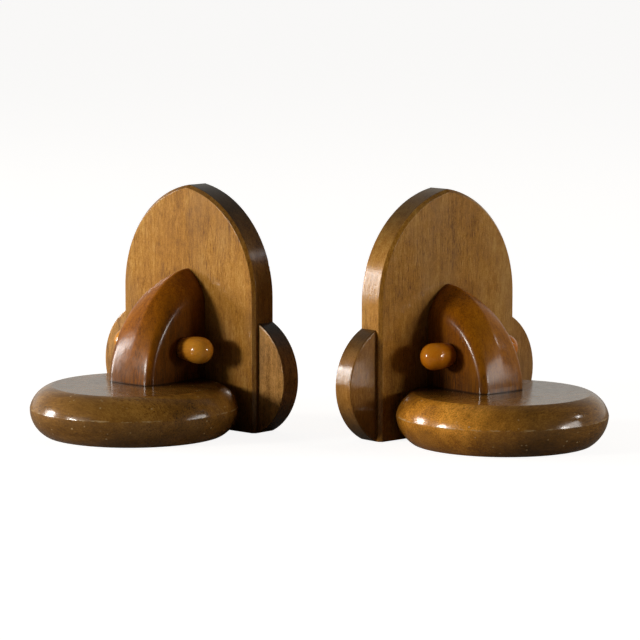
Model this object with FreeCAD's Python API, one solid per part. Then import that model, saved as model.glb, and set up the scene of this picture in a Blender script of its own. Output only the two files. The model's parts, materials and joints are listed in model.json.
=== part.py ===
import FreeCAD, Part
import math
import os

from FreeCAD import Vector

# A pair of wooden book ends. Each one is an arched upright with a rounded wing on either side,
# a turned disc base in front of it, and a curved bracket that joins the two and carries a knob
# on each side. Units are millimetres. +Z is up and the front of the pair faces -Y.
#
# Each book end is built in its own frame: X across the upright, Y = 0 on its front face and
# positive towards the books, Z = 0 on the shelf.

# upright
upright_width = 114.2
upright_height = 150.8
upright_thickness = 17.4
arch_spring_height = 83.3
upright_front_chamfer = 1.9
upright_back_rounding = 0.8

# wings
wing_height = 68.0
wing_bulge = 21.1
wing_setback = 3.8
wing_edge_rounding = 0.7

# base; the two were turned by eye, so the top and the swell of the bevels differ a little
base_widest_radius = 64.5
base_widest_height = 17.0
base_top_height = 30.5
base_foot_radius = 54.9
base_centre_ahead = 46.9
base_top_radius = {"left": 51.0, "right": 53.6}
base_bevel_bulge = {"left": 2.8, "right": 2.3}
base_rim_rounding = 0.8

# bracket; the two are made by hand and differ a little, and the left one stands off centre.
# Its front is nearly flat across at the base, with small edge radii, and rounds over higher up;
# flatness is the power of that change, and fullness that of the curve from base to upright.
# At the upright the ridge is shifted sideways from the middle of the bracket.
bracket = {
    "left": {
        "width": 37.0,
        "depth": 50.2,
        "height": 68.0,
        "off_centre": -3.1,
        "ridge_shift": 4.0,
    },
    "right": {
        "width": 35.6,
        "depth": 49.7,
        "height": 62.1,
        "off_centre": -0.2,
        "ridge_shift": -1.1,
    },
}
bracket_fullness = 1.87
bracket_edge_radius_low = 4.5
bracket_edge_radius_high = 18.0
bracket_edge_sweep_low = 87.0
bracket_edge_sweep_high = 30.0
bracket_flatness = 2.0
bracket_ridge_slope = 20.0

# knobs
knob_radius = 8.4
knob_length = {"left": 21.7, "right": 20.7}
knob_seat_radius = 6.9
knob_ahead = 18.6
knob_above_base = {"left": 20.7, "right": 21.4}
tenon_radius = 3.5
tenon_length = 11.0

# dowels between the upright and its wings
dowel_radius = 3.0
dowel_length = 22.0
dowel_heights = (20.0, 48.0)

# countersunk wood screws
screw_radius = 2.0
screw_head_radius = 4.0
screw_head_depth = 2.3
screw_slot_width = 0.9
screw_slot_depth = 1.0
screw_tip_length = 4.0
back_screw_length = 42.0
base_screw_spacing = 50.0
bracket_screw_above_base = 33.0
foot_screw_length = 42.0
foot_screw_ahead = 32.0
foot_screw_sink = 1.5

# clearances
glue_clearance = 0.05
hole_end_clearance = 1.0

# how the pair stands
stance = {
    "left": {"turn": -41.7, "across": -83.1, "away": 0.2},
    "right": {"turn": 41.3, "across": 79.4, "away": -32.0},
}

half_width = upright_width / 2


def cylinder(radius, length, start, direction):
    return Part.makeCylinder(radius, length, start, direction)


def prism_from_outline(edges, depth, start_y):
    """Extrudes an outline drawn in the XZ plane towards +Y."""
    face = Part.Face(Part.Wire(edges))
    solid = face.extrude(Vector(0, depth, 0))
    solid.translate(Vector(0, start_y, 0))
    return solid


def edges_on_plane_y(solid, y, skip_floor=True):
    """Edges that lie in the plane Y = y, without those that run along the floor."""
    chosen = []
    for edge in solid.Edges:
        box = edge.BoundBox
        on_plane = abs(box.YMin - y) < 1e-4 and abs(box.YMax - y) < 1e-4
        on_floor = box.ZMax < 1e-4
        if on_plane and not (skip_floor and on_floor):
            chosen.append(edge)
    return chosen


def line(start, end):
    return Part.makeLine(Vector(*start), Vector(*end))


def arc(start, middle, end):
    return Part.Arc(Vector(*start), Vector(*middle), Vector(*end)).toShape()


def arch_middle(side):
    """A point half way up one flank of the arch, whose arc leaves the side vertically."""
    rise = upright_height - arch_spring_height
    radius = (half_width**2 + rise**2) / (2 * half_width)
    angle = math.asin(rise / radius) / 2
    x = half_width - radius + radius * math.cos(angle)
    return (side * x, 0, arch_spring_height + radius * math.sin(angle))


def make_upright(name):
    left_foot = (-half_width, 0, 0)
    right_foot = (half_width, 0, 0)
    left_spring = (-half_width, 0, arch_spring_height)
    right_spring = (half_width, 0, arch_spring_height)
    point = (0, 0, upright_height)
    outline = [
        line(left_foot, right_foot),
        line(right_foot, right_spring),
        arc(right_spring, arch_middle(1), point),
        arc(point, arch_middle(-1), left_spring),
        line(left_spring, left_foot),
    ]
    board = prism_from_outline(outline, upright_thickness, 0)
    board = board.makeChamfer(upright_front_chamfer, edges_on_plane_y(board, 0))
    board = board.makeFillet(upright_back_rounding, edges_on_plane_y(board, upright_thickness))
    return board.cut(dowel_holes()).cut(base_screw_holes()).cut(bracket_screw_hole(name))


def make_wing(side):
    inner = side * half_width
    outer = side * (half_width + wing_bulge)
    outline = [
        line((inner, 0, 0), (inner, 0, wing_height)),
        arc((inner, 0, wing_height), (outer, 0, wing_height / 2), (inner, 0, 0)),
    ]
    thickness = upright_thickness - wing_setback
    wing = prism_from_outline(outline, thickness, wing_setback)
    rounded = []
    for y in (wing_setback, upright_thickness):
        for edge in edges_on_plane_y(wing, y):
            if edge.BoundBox.XLength > 1:
                rounded.append(edge)
    wing = wing.makeFillet(wing_edge_rounding, rounded)
    return wing.cut(dowel_holes())


def dowel_y():
    return (wing_setback + upright_thickness) / 2


def make_dowels(radius, length):
    dowels = []
    for side in (-1, 1):
        for height in dowel_heights:
            start = Vector(side * half_width - length / 2, dowel_y(), height)
            dowels.append(cylinder(radius, length, start, Vector(1, 0, 0)))
    return Part.makeCompound(dowels)


def dowel_holes():
    return make_dowels(dowel_radius + glue_clearance, dowel_length + 2 * hole_end_clearance)


def make_base(name):
    bulge = base_bevel_bulge[name]
    foot = (base_foot_radius, 0, 0)
    widest = (base_widest_radius, 0, base_widest_height)
    rim = (base_top_radius[name], 0, base_top_height)
    outline = [
        line((0, 0, 0), foot),
        arc(foot, bulged_middle(foot, widest, bulge), widest),
        arc(widest, bulged_middle(widest, rim, bulge), rim),
        line(rim, (0, 0, base_top_height)),
        line((0, 0, base_top_height), (0, 0, 0)),
    ]
    disc = Part.Face(Part.Wire(outline)).revolve(Vector(0, 0, 0), Vector(0, 0, 1), 360)
    rims = [edge for edge in disc.Edges if is_rim(edge)]
    disc = disc.makeFillet(base_rim_rounding, rims)
    disc.translate(Vector(0, -base_centre_ahead, 0))
    reach = 2 * base_widest_radius
    behind_front_face = Part.makeBox(2 * reach, reach, reach, Vector(-reach, 0, -reach / 2))
    return disc.cut(behind_front_face).cut(base_screw_holes()).cut(foot_screw_hole(name))


def bulged_middle(start, end, bulge):
    """Middle point of a profile arc that bulges outwards from the straight bevel."""
    across = end[0] - start[0]
    up = end[2] - start[2]
    length = math.hypot(across, up)
    x = (start[0] + end[0]) / 2 + bulge * up / length
    z = (start[2] + end[2]) / 2 - bulge * across / length
    return (x, 0, z)


def is_rim(edge):
    box = edge.BoundBox
    flat = box.ZLength < 1e-4
    return flat and box.XLength > 1.2 * base_widest_radius


def bracket_section(name, angle):
    """Radii and angles of the four-centred arch across the bracket at one angle of its sweep."""
    share = min(max(angle / 90, 0), 1)
    roundness = share**bracket_flatness
    edge_radius = blend(bracket_edge_radius_low, bracket_edge_radius_high, roundness)
    edge_sweep = blend(bracket_edge_sweep_low, bracket_edge_sweep_high, roundness)
    ridge_slope = bracket_ridge_slope * roundness
    half = bracket[name]["width"] / 2
    across = half - edge_radius * (1 - math.cos(math.radians(edge_sweep)))
    spread = math.cos(math.radians(edge_sweep)) - math.sin(math.radians(ridge_slope))
    return edge_radius, edge_sweep, ridge_slope, across / spread


def blend(low, high, share):
    return low + (high - low) * share


def section_points(name, angle, steps):
    """Points over one half of the section: (distance from the middle, drop below the ridge)."""
    edge_radius, edge_sweep, ridge_slope, crown_radius = bracket_section(name, angle)
    points = []
    for step in range(steps + 1):
        slope = math.radians(blend(ridge_slope, 90 - edge_sweep, step / steps))
        start = math.radians(ridge_slope)
        across = crown_radius * (math.sin(slope) - math.sin(start))
        drop = crown_radius * (math.cos(start) - math.cos(slope))
        points.append((across, drop))
    crown_end = points[-1]
    for step in range(1, steps + 1):
        slope = math.radians(blend(90 - edge_sweep, 90, step / steps))
        start = math.radians(90 - edge_sweep)
        across = crown_end[0] + edge_radius * (math.sin(slope) - math.sin(start))
        drop = crown_end[1] + edge_radius * (math.cos(start) - math.cos(slope))
        points.append((across, drop))
    return points


def ridge_distance(name, angle):
    """Distance of the ridge from the corner where base and upright meet, as a superellipse."""
    along = abs(math.cos(math.radians(angle)) / bracket[name]["depth"])
    up = abs(math.sin(math.radians(angle)) / bracket[name]["height"])
    return (along**bracket_fullness + up**bracket_fullness) ** (-1 / bracket_fullness)


def ridge_shift(name, angle, across):
    """Sideways shift of a section point: most at the ridge near the upright, none at the sides."""
    inward = 1 - abs(across) / (bracket[name]["width"] / 2)
    return bracket[name]["ridge_shift"] * math.sin(math.radians(angle)) * inward


def make_bracket(name):
    steps = 5
    middle = bracket[name]["off_centre"]
    grid = []
    for angle in range(-6, 97, 6):
        half_row = section_points(name, angle, steps)
        row = [(-across, drop) for across, drop in reversed(half_row[1:])] + half_row
        points = []
        for across, drop in row:
            across += ridge_shift(name, angle, across)
            distance = ridge_distance(name, angle) - drop
            ahead = distance * math.cos(math.radians(angle))
            above = distance * math.sin(math.radians(angle))
            points.append(Vector(middle + across, -ahead, base_top_height + above))
        grid.append(points)
    spine = Part.BSplineSurface()
    spine.interpolate(grid)
    reach = bracket[name]["height"] + bracket[name]["depth"]
    swept = spine.toShape().extrude(Vector(0, reach, -reach))
    room = Part.makeBox(2 * reach, reach, reach, Vector(-reach, -reach, base_top_height))
    solid = swept.common(room).Solids[0]
    return solid.cut(tenon_holes(name)).cut(bracket_screw_hole(name)).cut(foot_screw_hole(name))


def knob_seat(name, side):
    """Middle of a knob's seat on one side face of the bracket."""
    across = bracket[name]["off_centre"] + side * bracket[name]["width"] / 2
    return Vector(across, -knob_ahead, base_top_height + knob_above_base[name])


def make_knob(name, side):
    length = knob_length[name]
    belly_end = length - knob_radius
    tip_middle = knob_radius * math.sqrt(0.5)
    outline = [
        line((0, 0, -tenon_length), (tenon_radius, 0, -tenon_length)),
        line((tenon_radius, 0, -tenon_length), (tenon_radius, 0, 0)),
        line((tenon_radius, 0, 0), (knob_seat_radius, 0, 0)),
        arc((knob_seat_radius, 0, 0), shoulder_middle(belly_end), (knob_radius, 0, belly_end)),
        arc((knob_radius, 0, belly_end), (tip_middle, 0, belly_end + tip_middle),
            (0, 0, length)),
        line((0, 0, length), (0, 0, -tenon_length)),
    ]
    knob = Part.Face(Part.Wire(outline)).revolve(Vector(0, 0, 0), Vector(0, 0, 1), 360)
    knob.rotate(Vector(0, 0, 0), Vector(0, 1, 0), side * 90)
    knob.translate(knob_seat(name, side))
    return knob


def shoulder_middle(belly_end):
    """Middle of the arc that swells from the knob's seat to its full radius."""
    swell = knob_radius - knob_seat_radius
    radius = (belly_end**2 + swell**2) / (2 * swell)
    half_way = belly_end / 2
    return (knob_radius - radius + math.sqrt(radius**2 - half_way**2), 0, half_way)


def tenon_holes(name):
    holes = []
    for side in (-1, 1):
        depth = tenon_length + hole_end_clearance
        direction = Vector(-side, 0, 0)
        start = knob_seat(name, side)
        holes.append(cylinder(tenon_radius + glue_clearance, depth, start, direction))
    return Part.makeCompound(holes)


def screw_body(length, clearance, end_gap):
    """Countersunk body along +Z with the middle of its head face at the origin."""
    shank = screw_radius + clearance
    straight_end = length + end_gap - screw_tip_length
    head = Part.makeCone(screw_head_radius + clearance, shank, screw_head_depth)
    straight = cylinder(shank, straight_end, Vector(0, 0, 0), Vector(0, 0, 1))
    tip = Part.makeCone(shank, shank / 4, screw_tip_length, Vector(0, 0, straight_end))
    return head.fuse(straight).fuse(tip).removeSplitter()


def place_along(shape, start, direction):
    shape.Placement = FreeCAD.Placement(start, FreeCAD.Rotation(Vector(0, 0, 1), direction))
    return shape


def make_screw(length, start, direction):
    slot = Part.makeBox(4 * screw_head_radius, screw_slot_width, 2 * screw_slot_depth,
                        Vector(-2 * screw_head_radius, -screw_slot_width / 2, -screw_slot_depth))
    return place_along(screw_body(length, 0, 0).cut(slot), start, direction)


def screw_hole(length, start, direction):
    return place_along(screw_body(length, glue_clearance, hole_end_clearance), start, direction)


def base_screw_starts():
    height = base_top_height / 2
    return [Vector(side * base_screw_spacing / 2, upright_thickness, height) for side in (-1, 1)]


def bracket_screw_start(name):
    height = base_top_height + bracket_screw_above_base
    return Vector(bracket[name]["off_centre"], upright_thickness, height)


def foot_screw_start(name):
    return Vector(bracket[name]["off_centre"], -foot_screw_ahead, foot_screw_sink)


to_front = Vector(0, -1, 0)
upwards = Vector(0, 0, 1)


def make_base_screws():
    screws = [make_screw(back_screw_length, start, to_front) for start in base_screw_starts()]
    return Part.makeCompound(screws)


def make_bracket_screw(name):
    return make_screw(back_screw_length, bracket_screw_start(name), to_front)


def make_foot_screw(name):
    return make_screw(foot_screw_length, foot_screw_start(name), upwards)


def base_screw_holes():
    holes = [screw_hole(back_screw_length, start, to_front) for start in base_screw_starts()]
    return Part.makeCompound(holes)


def bracket_screw_hole(name):
    return screw_hole(back_screw_length, bracket_screw_start(name), to_front)


def foot_screw_hole(name):
    """Hole from below, with a counterbore that lets the head lie under the foot's surface."""
    start = foot_screw_start(name)
    mouth = Vector(start.x, start.y, 0)
    counterbore = cylinder(screw_head_radius + glue_clearance, foot_screw_sink, mouth, upwards)
    return screw_hole(foot_screw_length, start, upwards).fuse(counterbore)


def make_book_end(name):
    """Every piece of one book end, in its own frame, under the name of its node."""
    inward = {"left": 1, "right": -1}[name]
    return {
        f"{name}_upright": make_upright(name),
        f"{name}_inner_wing": make_wing(inward),
        f"{name}_outer_wing": make_wing(-inward),
        f"{name}_base": make_base(name),
        f"{name}_bracket": make_bracket(name),
        f"{name}_inner_knob": make_knob(name, inward),
        f"{name}_outer_knob": make_knob(name, -inward),
        f"{name}_wing_dowels": make_dowels(dowel_radius, dowel_length),
        f"{name}_base_screws": make_base_screws(),
        f"{name}_bracket_screw": make_bracket_screw(name),
        f"{name}_foot_screw": make_foot_screw(name),
    }


def stand_in_place(shape, name):
    place = stance[name]
    shape.rotate(Vector(0, 0, 0), Vector(0, 0, 1), place["turn"])
    shape.translate(Vector(place["across"], place["away"], 0))


def main():
    os.makedirs("parts", exist_ok=True)
    pieces = {}
    for name in stance:
        for node, shape in make_book_end(name).items():
            stand_in_place(shape, name)
            pieces[node] = shape
    box = Part.makeCompound(list(pieces.values())).optimalBoundingBox(False)
    to_middle = Vector(-(box.XMin + box.XMax) / 2, -(box.YMin + box.YMax) / 2, 0)
    for node, shape in pieces.items():
        shape.translate(to_middle)
        shape.exportStep(f"parts/{node}.step")
        print(f"{node}: {len(shape.Solids)} solid, {shape.Volume / 1000:.2f} cm3")
    print(f"middle moved by {to_middle.x:.3f}, {to_middle.y:.3f}")
    print(f"size {box.XLength:.2f} x {box.YLength:.2f} x {box.ZLength:.2f}")


main()
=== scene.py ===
import json
import math

import bpy
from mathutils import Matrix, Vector


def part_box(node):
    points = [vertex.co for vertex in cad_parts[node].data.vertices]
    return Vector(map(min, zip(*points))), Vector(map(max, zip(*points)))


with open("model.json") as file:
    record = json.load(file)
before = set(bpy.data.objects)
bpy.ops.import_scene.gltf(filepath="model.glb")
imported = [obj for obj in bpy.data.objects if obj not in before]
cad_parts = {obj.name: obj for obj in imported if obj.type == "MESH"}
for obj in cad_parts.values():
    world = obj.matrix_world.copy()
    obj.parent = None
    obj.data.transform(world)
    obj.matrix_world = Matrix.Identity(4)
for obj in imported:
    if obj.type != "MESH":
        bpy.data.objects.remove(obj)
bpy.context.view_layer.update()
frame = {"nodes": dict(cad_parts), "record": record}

BASE_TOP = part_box("left_base")[1][2]
BASE_WIDEST = 0.0172        # height of the base's widest line
FOOT_AHEAD = 0.070          # from the upright's front face to the mount under the base
SOFTENED_ARRIS = 0.0007     # radius that the sharp edges appear to have


def stance(name):
    """Where a book end stands: the middle of its upright's front face at the floor, and its turn.

    In a book end's own frame +X runs across the upright and +Y towards the books.
    """
    mounts = {mount["name"]: mount for mount in frame["record"]["mounts"]}
    to_books = Vector(mounts[f"{name}_back"]["axis"])
    foot = Vector(mounts[f"{name}_foot"]["pos_m"])
    return foot + FOOT_AHEAD * to_books, math.atan2(-to_books.x, to_books.y)


def srgb(red, green, blue):
    """Linear colour from the usual 0 to 255 numbers."""
    def one(value):
        value /= 255
        return value / 12.92 if value <= 0.04045 else ((value + 0.055) / 1.055) ** 2.4
    return (one(red), one(green), one(blue))


# ---------------------------------------------------------------- node building

class Nodes:
    """Short names for building a node tree."""

    def __init__(self, tree):
        self.tree = tree
        tree.nodes.clear()

    def add(self, kind, inputs=None, **settings):
        node = self.tree.nodes.new(kind)
        for key, value in settings.items():
            setattr(node, key, value)
        for key, value in (inputs or {}).items():
            if isinstance(value, bpy.types.NodeSocket):
                self.tree.links.new(value, node.inputs[key])
            else:
                node.inputs[key].default_value = value
        return node

    def math(self, operation, a, b=0.0, clamp=False):
        return self.add("ShaderNodeMath", {0: a, 1: b}, operation=operation,
                        use_clamp=clamp).outputs[0]

    def vector(self, operation, a, b):
        return self.add("ShaderNodeVectorMath", {0: a, 1: b}, operation=operation).outputs[0]

    def dot(self, a, b):
        node = self.add("ShaderNodeVectorMath", {0: a, 1: b}, operation="DOT_PRODUCT")
        return node.outputs["Value"]

    def split(self, vector):
        return self.add("ShaderNodeSeparateXYZ", {0: vector}).outputs

    def normal(self):
        return self.add("ShaderNodeNewGeometry").outputs["Normal"]

    def place(self):
        return self.add("ShaderNodeTexCoord").outputs["Object"]

    def noise(self, vector, scale, detail=2.0, roughness=0.5, output="Fac"):
        """Noise whose lumps are 1/scale metres long along each axis."""
        at = self.vector("MULTIPLY", vector, scale)
        inputs = {"Vector": at, "Scale": 1.0, "Detail": detail, "Roughness": roughness}
        return self.add("ShaderNodeTexNoise", inputs).outputs[output]

    def specks(self, vector, scale, size):
        """1 in small round specks, one in each cell of 1/scale metres, 0 between them."""
        at = self.vector("MULTIPLY", vector, scale)
        distance = self.add("ShaderNodeTexVoronoi", {"Vector": at, "Scale": 1.0}).outputs[0]
        return self.range(distance, size * 0.5, size, 1.0, 0.0)

    def ramp(self, value, stops):
        node = self.add("ShaderNodeValToRGB", {"Fac": value})
        elements = node.color_ramp.elements
        while len(elements) < len(stops):
            elements.new(0.5)
        for element, (position, colour) in zip(elements, stops):
            element.position = position
            element.color = (*colour, 1.0)
        return node.outputs["Color"]

    def range(self, value, low, high, to_low=0.0, to_high=1.0):
        inputs = {"Value": value, "From Min": low, "From Max": high,
                  "To Min": to_low, "To Max": to_high}
        return self.add("ShaderNodeMapRange", inputs).outputs[0]

    def mix(self, factor, a, b, blend="MIX"):
        return self.add("ShaderNodeMix", {0: factor, 6: a, 7: b}, data_type="RGBA",
                        blend_type=blend).outputs[2]

    def finish(self, shader, output="ShaderNodeOutputMaterial"):
        self.add(output, {"Surface": shader.outputs[0]})


def new_material(title):
    material = bpy.data.materials.new(title)
    material.use_nodes = True
    return material, Nodes(material.node_tree)


def tone_of(nodes, parts):
    """Adds up weight times (value - 0.5) about a middle tone of 0.5."""
    total = 0.5
    for value, weight in parts:
        node = nodes.add("ShaderNodeMath", {0: nodes.math("SUBTRACT", value, 0.5), 1: weight,
                                            2: total}, operation="MULTIPLY_ADD")
        total = node.outputs[0]
    return total


def own_frame(nodes, name):
    """Coordinates in one book end's own frame."""
    place, turn = stance(name)
    inputs = {"Vector": nodes.place(), "Location": place, "Rotation": (0, 0, turn)}
    return nodes.add("ShaderNodeMapping", inputs, vector_type="TEXTURE").outputs[0]


def facing(nodes, direction):
    """How squarely a face looks along a direction or against it, from 0 to 1."""
    return nodes.math("ABSOLUTE", nodes.dot(nodes.normal(), direction))


# ---------------------------------------------------------------- stained and varnished wood, with painted shade and painted light

# Noise in the stain: lumps per metre across, across and along the grain, detail, roughness.
GRAIN = {
    "broad": ((22, 22, 12), 3.0, 0.5),
    "cloud": ((120, 120, 60), 3.0, 0.6),
    "streak": ((420, 420, 34), 3.0, 0.6),
    "fibre": ((1300, 1300, 260), 2.0, 0.6),
    "grit": ((1400, 1400, 1100), 2.0, 0.7),
}


def edge_shade(nodes, name, colour, strength):
    """Painted shade on a board's edges, which the low lamps barely reach: darker by the given
    strength, and darkest where they turn up or down.
    """
    turn = stance(name)[1]
    edge = nodes.range(facing(nodes, (-math.sin(turn), math.cos(turn), 0)), 0.9, 0.5)
    # Painted shade, as strong as the look asks.
    stain = nodes.math("MULTIPLY", edge, strength)
    colour = nodes.mix(stain, colour, (*srgb(108, 90, 56), 1), "MULTIPLY")
    level = nodes.range(facing(nodes, (0, 0, 1)), 0.30, 0.78, 0.0, 0.88)
    return nodes.mix(nodes.math("MULTIPLY", edge, level), colour, (0.14, 0.15, 0.16, 1),
                     "MULTIPLY")


def side_shade(nodes, name, colour, strength):
    """Painted shade: a piece's two flat sides made darker, where the lamps leave them in shade."""
    turn = stance(name)[1]
    side = facing(nodes, (math.cos(turn), math.sin(turn), 0))
    side = nodes.range(side, 0.80, 0.97, 0.0, strength)
    return nodes.mix(side, colour, (0.55, 0.5, 0.5, 1), "MULTIPLY")


def lit_end(nodes, own, colour, strength):
    """Painted light: the base made paler towards its end that faces the lamps on the left."""
    end = nodes.range(nodes.split(own)[0], -0.030, -0.062, 0.0, strength)
    return nodes.mix(end, colour, (2.3, 2.1, 1.5, 1), "MULTIPLY")


def corner_shade(nodes, colour):
    """Painted shade: the colour darkened in the inner corners, by how closed in each point is."""
    open_space = nodes.add("ShaderNodeAmbientOcclusion", {"Distance": 0.045}, samples=6,
                           only_local=False).outputs["AO"]
    corner = nodes.range(open_space, 0.85, 0.35, 0.0, 0.65)
    return nodes.mix(corner, colour, (0.30, 0.26, 0.20, 1), "MULTIPLY")


def arris_wear_and_highlight(nodes, own, rounded, colour, look):
    """Pale patches on the arrises, where the rounded normal leaves the true one: rubbed wood, and
    also a painted highlight along the edges.
    """
    edge = nodes.range(nodes.dot(rounded, nodes.normal()), 0.985, 0.90)
    arris_patches = nodes.range(nodes.noise(own, (260, 260, 260), 3.0, 0.7), 0.42, 0.62)
    arris_paling = nodes.math("MULTIPLY", nodes.math("MULTIPLY", edge, arris_patches), look["arris_paling"])
    return nodes.mix(arris_paling, colour, (*look["bare"], 1))


def grain_frame(nodes, own, look, turned, offset):
    """Coordinates with a gentle sway. The grain runs up Z, or across X where wood is turned."""
    grain = nodes.vector("ADD", own, offset)
    if turned:
        inputs = {"Vector": grain, "Rotation": (0, math.pi / 2, 0)}
        grain = nodes.add("ShaderNodeMapping", inputs, vector_type="POINT").outputs[0]
    sway = nodes.noise(grain, (16, 16, 11), 1.0, output="Color")
    sway = nodes.vector("MULTIPLY", nodes.vector("SUBTRACT", sway, (0.5, 0.5, 0.5)),
                        (look["sway"], look["sway"], 0))
    return nodes.vector("ADD", grain, sway)


def dashes(nodes, grain):
    """The short dark dashes of beech, gathered in patches."""
    dash = nodes.range(nodes.noise(grain, (1000, 1000, 210), 1.0, 0.5), 0.56, 0.72)
    patch = nodes.range(nodes.noise(grain, (38, 38, 22), 2.0), 0.40, 0.62)
    return nodes.math("MULTIPLY", dash, patch)


def stained(nodes, grain, lumps, dash, look):
    """Stain that took unevenly, with the dashes in it and faded clouds over it."""
    tone = tone_of(nodes, [(lumps[key], look[key]) for key in GRAIN])
    tone = nodes.math("SUBTRACT", tone, nodes.math("MULTIPLY", dash, look["dash"]), clamp=True)
    colour = nodes.ramp(tone, [(0.0, look["dark"]), (0.5, look["middle"]), (1.0, look["light"])])
    clouds = nodes.noise(nodes.vector("ADD", grain, (3, 1, 2)), (30, 30, 14), 2.0)
    clouds = nodes.range(clouds, 0.45, 0.7, 0.0, look["grey"])
    return nodes.mix(clouds, colour, (*look["faded"], 1))


def varnished(nodes, own, grain, rounded, height, colour, gloss, look):
    """The wood's own low relief under a coat of varnish with a brushed surface."""
    relief = nodes.add("ShaderNodeBump", {"Height": height, "Strength": look["relief"],
                                          "Distance": 0.0002, "Normal": rounded})
    peel = tone_of(nodes, [(nodes.noise(own, (230, 230, 230), 2.0, 0.5), 0.5),
                           (nodes.noise(grain, (500, 500, 120), 2.0, 0.5), 0.35)])
    brushed = nodes.add("ShaderNodeBump", {"Height": peel, "Strength": look["peel"],
                                           "Distance": 0.0006, "Normal": rounded})
    coat_rough = nodes.range(gloss, 0.3, 0.75, look["coat_rough"], look["coat_rough"] + 0.12)
    return nodes.add("ShaderNodeBsdfPrincipled", {
        "Base Color": colour, "Roughness": look["rough"], "Specular IOR Level": 0.05,
        "Coat Weight": look["coat"], "Coat Roughness": coat_rough, "Coat IOR": 1.5,
        "Normal": relief.outputs[0], "Coat Normal": brushed.outputs[0]})


def wood(title, name, look, turned=False, offset=(0, 0, 0), extra_marks=None):
    """Stained and varnished beech: fibres, short dark dashes, cloudy stain, pale rubbed arrises
    that are partly a painted highlight, and the painted shade and painted light that the look asks
    for.
    """
    material, nodes = new_material(title)
    own = own_frame(nodes, name)
    grain = grain_frame(nodes, own, look, turned, offset)
    lumps = {key: nodes.noise(grain, *values) for key, values in GRAIN.items()}
    dash = dashes(nodes, grain)
    colour = stained(nodes, grain, lumps, dash, look)
    height = tone_of(nodes, [(lumps["fibre"], 0.7), (lumps["grit"], 0.3)])
    height = nodes.math("SUBTRACT", height, nodes.math("MULTIPLY", dash, 0.8))
    gloss = nodes.noise(own, (160, 160, 160), 4.0, 0.65)
    rounded = nodes.add("ShaderNodeBevel", {"Radius": SOFTENED_ARRIS}, samples=6).outputs[0]
    # Pale arrises: rubbed wood and a painted highlight.
    colour = arris_wear_and_highlight(nodes, own, rounded, colour, look)
    # Painted shade on edges and sides, and painted light on the base's end, where the look asks for
    # them.
    if "edge_shade" in look:
        colour = edge_shade(nodes, name, colour, look["edge_shade"])
    if "lit_end" in look:
        colour = lit_end(nodes, own, colour, look["lit_end"])
    if "side_shade" in look:
        colour = side_shade(nodes, name, colour, look["side_shade"])
    # Painted shade in the inner corners.
    colour = corner_shade(nodes, colour)
    if extra_marks:
        colour, gloss = extra_marks(nodes, own, colour, gloss)
    nodes.finish(varnished(nodes, own, grain, rounded, height, colour, gloss, look))
    return material


def base_marks_and_rim_highlight(nodes, own, colour, gloss):
    """A pale broken line along the widest line, partly knocks and rubbed varnish and partly a
    painted highlight on the rounded rim; and pale nicks scattered over the sides.
    """
    above = nodes.math("ABSOLUTE", nodes.math("SUBTRACT", nodes.split(own)[2], BASE_WIDEST))
    wobble = nodes.noise(own, (190, 190, 190), 3.0, 0.6)
    line = nodes.range(nodes.math("SUBTRACT", above, nodes.math("MULTIPLY", wobble, 0.0009)),
                       -0.0003, 0.0002, 1.0, 0.0)
    broken = nodes.range(nodes.noise(own, (90, 90, 400), 3.0, 0.7), 0.50, 0.60)
    line = nodes.math("MULTIPLY", line, broken)
    nicks = nodes.specks(own, (210, 210, 260), 0.17)
    gathered = nodes.range(nodes.noise(own, (60, 60, 60), 2.0, 0.6), 0.50, 0.58)
    nicks = nodes.math("MULTIPLY", nicks, gathered)
    marks = nodes.math("MAXIMUM", nodes.math("MULTIPLY", line, 0.7),
                       nodes.math("MULTIPLY", nicks, 0.75))
    # Pale marks: knocks and nicks, and along the rim also a painted highlight.
    colour = nodes.mix(marks, colour, (*srgb(214, 184, 132), 1))
    dark = nodes.specks(nodes.vector("ADD", own, (0.5, 0.1, 0.3)), (230, 230, 300), 0.24)
    gathered = nodes.range(nodes.noise(own, (45, 45, 45), 2.0, 0.6), 0.50, 0.62, 0.0, 0.5)
    dark = nodes.math("MULTIPLY", dark, gathered)
    colour = nodes.mix(dark, colour, (*srgb(54, 32, 12), 1))
    return colour, nodes.math("MAXIMUM", gloss, marks)


def bracket_foot_marks(nodes, own, colour, gloss):
    """Darker streaks towards the bottom of the bracket, and a dark glue line where it meets the
    base.
    """
    z = nodes.split(own)[2]
    low = nodes.range(z, BASE_TOP + 0.0145, BASE_TOP + 0.001)
    streaks = nodes.range(nodes.noise(own, (1100, 1100, 30), 2.0, 0.6), 0.42, 0.56)
    darker_low = nodes.math("MULTIPLY", low, nodes.math("MULTIPLY", streaks, 0.6))
    colour = nodes.mix(darker_low, colour, (*srgb(52, 34, 18), 1))
    glue = nodes.range(z, BASE_TOP + 0.0012, BASE_TOP + 0.0004)
    return nodes.mix(nodes.math("MULTIPLY", glue, 0.8), colour, (*srgb(40, 24, 12), 1)), gloss


# The pale arris colour and its strength stand for rubbed wood and also for a painted highlight.
WOOD = {
    "dark": srgb(92, 52, 8), "faded": srgb(172, 132, 84), "bare": srgb(214, 170, 104),
    "sway": 0.003, "broad": 0.6, "cloud": 0.6, "streak": 0.55, "fibre": 0.6, "grit": 0.6,
    "dash": 0.28, "grey": 0.45, "arris_paling": 0.5, "relief": 0.3, "peel": 0.2,
    "rough": 0.55, "coat": 0.6, "coat_rough": 0.12,
}
BOARD = dict(WOOD, middle=srgb(190, 130, 46), light=srgb(234, 184, 96))
# Painted shade on the board edges: strong on the left book end, none on the right.
BOARDS = {"left": dict(BOARD, edge_shade=0.55), "right": dict(BOARD, edge_shade=0.0)}
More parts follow.
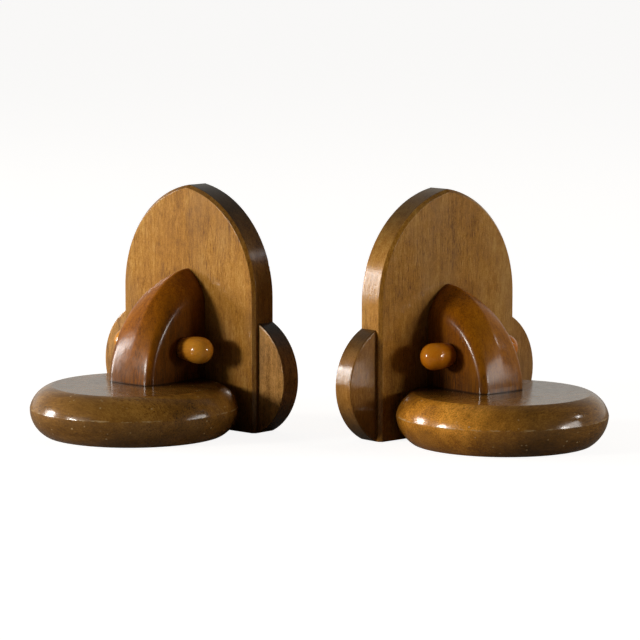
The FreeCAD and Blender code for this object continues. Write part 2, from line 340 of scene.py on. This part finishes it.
# Painted light: the same wood for the wings, painted paler on the left book end as a painted sheen
# and darker on the right as painted shade.
WINGS_PAINTED_LIGHT = {
    "left": dict(WOOD, middle=srgb(216, 158, 84), light=srgb(246, 204, 134), coat=0.8,
                 edge_shade=0.55),
    "right": dict(WOOD, middle=srgb(160, 108, 42), light=srgb(206, 150, 76), coat=0.8,
                  edge_shade=0.0),
}
BASE = dict(WOOD, dark=srgb(52, 30, 4), middle=srgb(146, 98, 30), light=srgb(206, 150, 66),
            faded=srgb(130, 94, 46), streak=0.4, cloud=0.7, grit=0.65, dash=0.3, coat=1.0,
            peel=0.15)
# Painted light on the base's left end: faint on the left book end, full on the right.
BASES = {"left": dict(BASE, lit_end=0.25), "right": dict(BASE, lit_end=1.0)}
# The bracket's flat sides carry painted shade at half strength.
BRACKET = dict(WOOD, dark=srgb(60, 28, 0), bare=srgb(190, 144, 84), streak=0.6, dash=0.3,
               broad=0.9, coat=0.55, coat_rough=0.15, peel=0.1, side_shade=0.5)
BRACKETS = {
    "left": dict(BRACKET, middle=srgb(160, 90, 4), light=srgb(208, 128, 14),
                 faded=srgb(130, 82, 10)),
    "right": dict(BRACKET, middle=srgb(178, 104, 6), light=srgb(220, 140, 20),
                  faded=srgb(150, 96, 16)),
}
KNOB = dict(WOOD, dark=srgb(160, 84, 10), broad=0.9, cloud=0.4, streak=0.3, fibre=0.3, grit=0.3,
            dash=0.06, grey=0.15, coat=1.0, coat_rough=0.05, peel=0.06, relief=0.1)
KNOBS = {
    "left": dict(KNOB, middle=srgb(244, 164, 48), light=srgb(255, 204, 100),
                 faded=srgb(236, 150, 50)),
    "right": dict(KNOB, middle=srgb(236, 138, 14), light=srgb(250, 176, 50),
                  faded=srgb(228, 128, 20)),
}
DOWEL = dict(WOOD, dark=srgb(150, 110, 66), middle=srgb(190, 150, 100), light=srgb(214, 180, 130),
             coat=0.0)


def screw_steel():
    material, nodes = new_material("screw_steel")
    tarnish = nodes.noise(nodes.place(), (700, 700, 700), 4.0, 0.6)
    colour = nodes.ramp(tarnish, [(0.3, srgb(96, 84, 66)), (0.55, srgb(150, 142, 128)),
                                  (0.8, srgb(186, 180, 168))])
    rough = nodes.range(tarnish, 0.3, 0.8, 0.5, 0.28)
    nodes.finish(nodes.add("ShaderNodeBsdfPrincipled",
                           {"Base Color": colour, "Metallic": 1.0, "Roughness": rough}))
    return material


def dress(node, material):
    mesh = frame["nodes"][node].data
    mesh.materials.clear()
    mesh.materials.append(material)


def dress_book_end(name, steel):
    """Each piece is cut from its own place in the wood, so no two have the same figure."""
    shift = 0.0 if name == "left" else 0.7
    dress(f"{name}_upright", wood(f"{name}_board", name, BOARDS[name], offset=(shift, 0, 0)))
    for wing, along in (("inner_wing", 0.4), ("outer_wing", 0.7)):
        dress(f"{name}_{wing}", wood(f"{name}_{wing}_wood", name, WINGS_PAINTED_LIGHT[name],
                                     offset=(along + shift, 0.2, 0.1)))
    dress(f"{name}_base", wood(f"{name}_base_wood", name, BASES[name], True,
                               (0.1, 0.3 + shift, 0.2), base_marks_and_rim_highlight))
    dress(f"{name}_bracket", wood(f"{name}_bracket_wood", name, BRACKETS[name], False,
                                  (0.2, 0.1 + shift, 0.5), bracket_foot_marks))
    knob = wood(f"{name}_knob_wood", name, KNOBS[name], True, (0.3, 0.3 + shift, 0.1))
    dress(f"{name}_inner_knob", knob)
    dress(f"{name}_outer_knob", knob)
    dress(f"{name}_wing_dowels", wood(f"{name}_dowel_wood", name, DOWEL, True))
    for screw in ("base_screws", "bracket_screw", "foot_screw"):
        dress(f"{name}_{screw}", steel)


# ---------------------------------------------------------------- stage, light and camera

FLOOR_REACH = 80.0
FLOOR_COLOUR = (0.44, 0.425, 0.405, 1)
FLOOR_GLOW = 0.90                       # what the floor adds where it is seen directly
LIGHTS_AIM = Vector((0, 0, 0.07))       # about the middle of the pair
LIGHTS_DISTANCE = 3.0
ROOM_COLOUR = (1.0, 0.97, 0.90, 1)
ROOM_BEHIND = 0.60
ROOM_ELSEWHERE = 0.025
CAMERA_PLACE = (0.001984, -1.781256, 0.296813)
CAMERA_DIP = 7.2515                     # degrees below level
CAMERA_LENS = 164.18                    # millimetres, for a sensor 36 mm wide


def make_stage():
    """A wide pale floor, brighter where it is seen directly than it is as a reflector."""
    floor = bpy.data.meshes.new("floor")
    reach = FLOOR_REACH
    corners = [(-reach, -reach, 0), (reach, -reach, 0), (reach, reach, 0), (-reach, reach, 0)]
    floor.from_pydata(corners, [], [(0, 1, 2, 3)])
    shown = bpy.data.objects.new("floor", floor)
    bpy.context.scene.collection.objects.link(shown)
    material, nodes = new_material("pale_floor")
    matt = nodes.add("ShaderNodeBsdfDiffuse", {"Color": FLOOR_COLOUR})
    glow = nodes.add("ShaderNodeEmission", {"Color": (1.0, 0.995, 0.99, 1),
                                            "Strength": FLOOR_GLOW})
    seen = nodes.add("ShaderNodeAddShader", {0: matt.outputs[0], 1: glow.outputs[0]})
    direct = nodes.add("ShaderNodeLightPath").outputs["Is Camera Ray"]
    nodes.finish(nodes.add("ShaderNodeMixShader", {0: direct, 1: matt.outputs[0],
                                                   2: seen.outputs[0]}))
    floor.materials.append(material)


def area_light(title, azimuth, elevation, size, radiance, colour):
    """A soft box that faces the pair. Azimuth is measured from the front, to the right."""
    light = bpy.data.lights.new(title, "AREA")
    light.shape = "RECTANGLE"
    light.size, light.size_y = size
    light.energy = radiance * math.pi * size[0] * size[1]
    light.color = colour
    holder = bpy.data.objects.new(title, light)
    turn, rise = math.radians(azimuth), math.radians(elevation)
    away = Vector((math.sin(turn) * math.cos(rise), -math.cos(turn) * math.cos(rise),
                   math.sin(rise)))
    holder.location = LIGHTS_AIM + away * LIGHTS_DISTANCE
    holder.rotation_mode = "QUATERNION"
    holder.rotation_quaternion = away.to_track_quat("Z", "Y")
    bpy.context.scene.collection.objects.link(holder)


def make_lights():
    """Low soft boxes on both sides, and a window beyond each for the reflections."""
    area_light("key", -69, 9, (0.50, 0.45), 60, (1.0, 0.96, 0.90))
    area_light("key_soft", -58, 11, (0.9, 1.1), 0.8, (1.0, 0.97, 0.92))
    area_light("fill", 67, 8, (0.36, 0.32), 38, (1.0, 0.97, 0.93))
    area_light("fill_soft", 80, 10, (0.8, 0.9), 6.5, (1.0, 0.97, 0.93))
    area_light("window_left", -102.5, 8, (0.62, 1.0), 26, (1.0, 0.98, 0.95))
    area_light("window_right", 97, 27, (0.25, 0.25), 16, (1.0, 0.98, 0.97))


def make_surroundings():
    """A room that is pale behind the pair near the horizon, and dim in front and overhead."""
    world = bpy.data.worlds.new("studio")
    world.use_nodes = True
    nodes = Nodes(world.node_tree)
    _, y, z = nodes.split(nodes.add("ShaderNodeTexCoord").outputs["Generated"])
    behind = nodes.range(y, -0.1, 0.85)
    low = nodes.range(z, 0.15, 0.75, 1.0, 0.25)
    strength = nodes.add("ShaderNodeMath", {0: nodes.math("MULTIPLY", behind, low),
                                            1: ROOM_BEHIND, 2: ROOM_ELSEWHERE},
                         operation="MULTIPLY_ADD").outputs[0]
    room = nodes.add("ShaderNodeBackground", {"Color": ROOM_COLOUR, "Strength": strength})
    nodes.finish(room, "ShaderNodeOutputWorld")
    bpy.context.scene.world = world


def make_camera():
    camera = bpy.data.cameras.new("camera")
    camera.sensor_width = 36
    camera.lens = CAMERA_LENS
    camera.clip_start, camera.clip_end = 0.05, 200
    holder = bpy.data.objects.new("camera", camera)
    holder.location = CAMERA_PLACE
    holder.rotation_euler = (math.radians(90 - CAMERA_DIP), 0, 0)
    bpy.context.scene.collection.objects.link(holder)
    bpy.context.scene.camera = holder


bpy.context.scene.view_settings.view_transform = "Standard"
steel = screw_steel()
for name in ("left", "right"):
    dress_book_end(name, steel)
make_stage()
make_lights()
make_surroundings()
make_camera()
